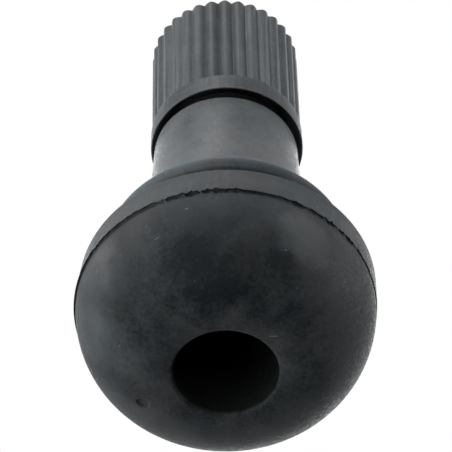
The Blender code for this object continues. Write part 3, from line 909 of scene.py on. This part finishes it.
def moulded_seal(name, deep, light):
    """Soft seal rubber: a matt colour with faint mottling and a fine moulded grain."""
    material, tree, shader, place = new_finish(name)
    mottle = add(tree, "TexNoise", {"Vector": place, "Scale": per(0.6), "Detail": 4})
    grain = add(tree, "TexNoise", {"Vector": place, "Scale": per(0.08), "Detail": 2})
    tone = add(tree, "Mix", {0: mottle.outputs[0], 6: colour(deep), 7: colour(light)}, data_type="RGBA")
    matt = add(tree, "MapRange", {0: mottle.outputs[0], 1: 0.3, 2: 0.7, 3: 0.6, 4: 0.8})
    bump = add(tree, "Bump", {"Strength": 0.4, "Distance": 0.005 * MM, "Height": grain.outputs[0]})
    tree.links.new(tone.outputs[2], shader.inputs["Base Color"])
    tree.links.new(matt.outputs[0], shader.inputs["Roughness"])
    tree.links.new(bump.outputs[0], shader.inputs["Normal"])
    shader.inputs["Specular IOR Level"].default_value = 0.3
    return material


red_rubber = moulded_seal("moulded_red_seal_rubber", "8E2A22", "A83A30")
soft_rubber = moulded_seal("moulded_soft_black_rubber", "1C1D1E", "2A2C2D")
print("seal finishes:", red_rubber.name, soft_rubber.name)

# %% Seal ring, washer and cap disc
ring = draw_section("barrel_seal_ring", [
    (1.85, 22.7), (2.05, 22.7, 0.06), (2.35, 24.5, 0.08), (1.85, 24.5), (1.85, 22.7),
])
turn(ring, 96)
hand_over(ring, "barrel_gasket", "valve_body", red_rubber)

washer = draw_section("poppet_washer", [
    (0.55, 13.55), (1.45, 13.55, 0.08), (1.45, 14.35, 0.1), (0.55, 14.35, 0.05), (0.55, 13.55),
])
turn(washer, 96)
hand_over(washer, "poppet_gasket", "pin", soft_rubber)

disc = draw_section("cap_sealing_disc", [
    (0, 31.9), (2.7, 31.9, 0.04), (2.78, 31.98, 0.04), (3.45, 31.98, 0.04), (3.53, 31.9, 0.04),
    (3.84, 31.9, 0.1), (3.84, 32.65, 0.1), (0, 32.65),
])
turn(disc, 144)
hand_over(disc, "cap_gasket", "cap_gasket", soft_rubber)

# %% [markdown]
# ## Floor and background
# The valve stands on a plain pale floor, but the photograph looks up at its base, through where the floor
# is. So the floor shows only from above, where it also takes the valve's shadow, and lets every other ray
# through. Away from the valve it fades into the background. That is white to the camera and in reflections,
# and the light that it gives is set apart from that, so that a white background doesn't bleach the rubber.

# %% Floor
fade_start = 0.10
fade_end = 0.28


def seen_directly(tree):
    """1 for a ray from the camera, from a reflection or through glass, and 0 for any other."""
    ray = add(tree, "LightPath")
    seen = ray.outputs["Is Camera Ray"]
    for kind in ("Is Glossy Ray", "Is Transmission Ray"):
        seen = add(tree, "Math", {0: seen, 1: ray.outputs[kind]}, operation="MAXIMUM").outputs[0]
    return seen


bpy.ops.object.select_all(action="DESELECT")
bpy.ops.mesh.primitive_plane_add(size=1.6, location=(0, 0, -0.02 * MM))
floor = bpy.context.object
floor.name = "studio_floor"
bpy.ops.object.transform_apply(location=True, rotation=False, scale=False)
floor_white = bpy.data.materials.new("matt_white_floor")
floor_white.use_nodes = True
tree = floor_white.node_tree
tree.nodes.clear()
side = add(tree, "NewGeometry")
front = add(tree, "Math", {0: 1.0, 1: side.outputs["Backfacing"]}, operation="SUBTRACT")
shown = add(tree, "Math", {0: seen_directly(tree), 1: front.outputs[0]}, operation="MULTIPLY")
point = add(tree, "TexCoord")
away = add(tree, "VectorMath", {0: point.outputs["Object"]}, operation="LENGTH").outputs["Value"]
near = layered(tree, 0.0, ((away, fade_start, fade_end, 1, 0),))
shown = add(tree, "Math", {0: shown.outputs[0], 1: near}, operation="MULTIPLY")
matt = add(tree, "BsdfDiffuse", {"Color": colour("F4F4F3")})
clear = add(tree, "BsdfTransparent")
mixed = add(tree, "MixShader", {0: shown.outputs[0], 1: clear.outputs[0], 2: matt.outputs[0]})
add(tree, "OutputMaterial", {0: mixed.outputs[0]})
floor.data.materials.append(floor_white)
print("the floor fades out between", fade_start, "and", fade_end, "m")

# %% World
world = bpy.data.worlds.new("white_studio")
bpy.context.scene.world = world
world.use_nodes = True
tree = world.node_tree
tree.nodes.clear()
world_light = 0.06
white = add(tree, "Background", {0: (1, 1, 1, 1), 1: 1.0})
soft = add(tree, "Background", {0: (1, 1, 1, 1), 1: world_light})
mixed = add(tree, "MixShader", {0: seen_directly(tree), 1: soft.outputs[0], 2: white.outputs[0]})
add(tree, "OutputWorld", {0: mixed.outputs[0]})
print("world light:", world_light)

# %% [markdown]
# ## Lamps
# The photograph has soft light from over the cap, from the front and from both sides, most from the left,
# and little from below, so the base is dark with paler edges. An area lamp of P watts at d metres gives a
# white surface that faces it a brightness of about P / (9.87 d d), so each lamp is set by the level that it
# gives. The overhead lamp and the one behind the top light the floor and the cap's end, for other views.

# %% Lamps
middle = (0, 0, 17 * MM)
watts_for_white = 9.87


def add_lamp(name, direction, distance, size, level):
    """A square area lamp that faces the valve. Level 1 lights a white surface that faces it to white."""
    length = math.hypot(*direction)
    unit = [part / length for part in direction]
    place = [middle[axis] + unit[axis] * distance for axis in range(3)]
    lamp = bpy.data.lights.new(name, "AREA")
    lamp.size = size
    lamp.energy = watts_for_white * distance**2 * level
    holder = bpy.data.objects.new(name, lamp)
    bpy.context.collection.objects.link(holder)
    holder.location = place
    pitch = math.acos(max(-1.0, min(1.0, unit[2])))
    around = math.atan2(unit[1], unit[0]) + math.pi / 2
    holder.rotation_euler = (pitch, 0, around)
    holder.visible_camera = False
    print(name, "watts:", round(lamp.energy, 3))
    return holder


add_lamp("key_over_the_front", (-0.21, -0.55, 0.80), 0.30, 0.13, 0.29)
add_lamp("front", (-0.15, -0.95, 0.3), 0.32, 0.20, 0.18)
add_lamp("low_front", (0.05, -0.9, -0.4), 0.34, 0.20, 0.26)
add_lamp("left", (-1.0, 0.0, -0.1), 0.34, 0.20, 0.64)
add_lamp("low_left", (-0.75, -0.1, -0.65), 0.34, 0.22, 0.56)
add_lamp("right", (1.0, -0.05, 0.05), 0.34, 0.22, 0.36)
add_lamp("low_back", (-0.1, 0.92, -0.4), 0.34, 0.22, 0.28)
add_lamp("back_top", (0.25, 0.8, 0.55), 0.36, 0.25, 0.35)
add_lamp("overhead", (0, 0.5, 0.87), 0.40, 0.26, 0.42)

# %% [markdown]
# ## Camera
# A pinhole camera was fitted to the outline, the parting line, the hole and the cap in the photograph. It
# stands below and in front of the valve with a long lens, about 190 mm away, and looks up along it.

# %% Camera
camera_data = bpy.data.cameras.new("camera")
camera_data.sensor_width = 36
camera_data.lens = 249.9
camera = bpy.data.objects.new("camera", camera_data)
bpy.context.collection.objects.link(camera)
camera.location = (0, -120.9 * MM, -146.9 * MM)
camera.rotation_euler = (math.radians(143.21), 0, 0)
camera_data.clip_start = 0.01
bpy.context.scene.camera = camera
bpy.context.scene.view_settings.view_transform = "Standard"
print("focal length in mm:", round(camera_data.lens, 1))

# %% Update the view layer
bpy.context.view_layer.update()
